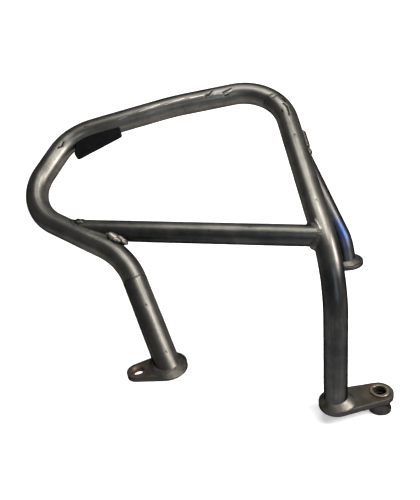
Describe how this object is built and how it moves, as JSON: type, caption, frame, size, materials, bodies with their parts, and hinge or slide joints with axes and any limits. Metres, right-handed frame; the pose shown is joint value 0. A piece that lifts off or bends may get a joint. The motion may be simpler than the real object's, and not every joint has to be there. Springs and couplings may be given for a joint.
{
  "type": "motorcycle engine guard",
  "caption": "Bent steel tube guard that bolts beside a motorcycle's engine: a leaning hoop on welded plates, with a cross brace and a black pad.",
  "frame": {"origin": "on the rear bolt's axis, in the rear spacer's mounting face", "axes": "+X along the bike towards the rear bolt, +Y up towards the hoop's top as it is mounted, +Z square off the mounting faces, out from the engine"},
  "size_m": [0.3783, 0.2702, 0.3373],
  "materials": {
    "tube_steel": "bare tube, dull satin, scuffed, with heat tint near the welds",
    "plate_steel": "bare plate, dull, with light rust round the holes",
    "bush_steel": "turned, dull, rusty at the bore",
    "spacer_steel": "turned, dark and dull",
    "weld_metal": "rippled bead with a bright grain",
    "pad_rubber": "black, smooth, with soft edges"
  },
  "bodies": {
    "root": {"hoop_tube": "tube_steel", "front_leg_tube": "tube_steel", "cross_brace": "tube_steel", "stub_tube": "tube_steel", "front_plate": "plate_steel", "middle_plate": "plate_steel", "rear_plate": "plate_steel", "rear_bush": "bush_steel", "rear_spacer": "spacer_steel", "impact_pad": "pad_rubber", "butt_weld_bead": "weld_metal", "front_foot_weld": "weld_metal", "rear_foot_weld": "weld_metal", "stub_foot_weld_bead": "weld_metal", "brace_front_weld": "weld_metal", "brace_rear_weld": "weld_metal", "stub_scarf_weld": "weld_metal", "stub_run_weld": "weld_metal", "spacer_weld_bead": "weld_metal"}
  },
  "joints": []
}
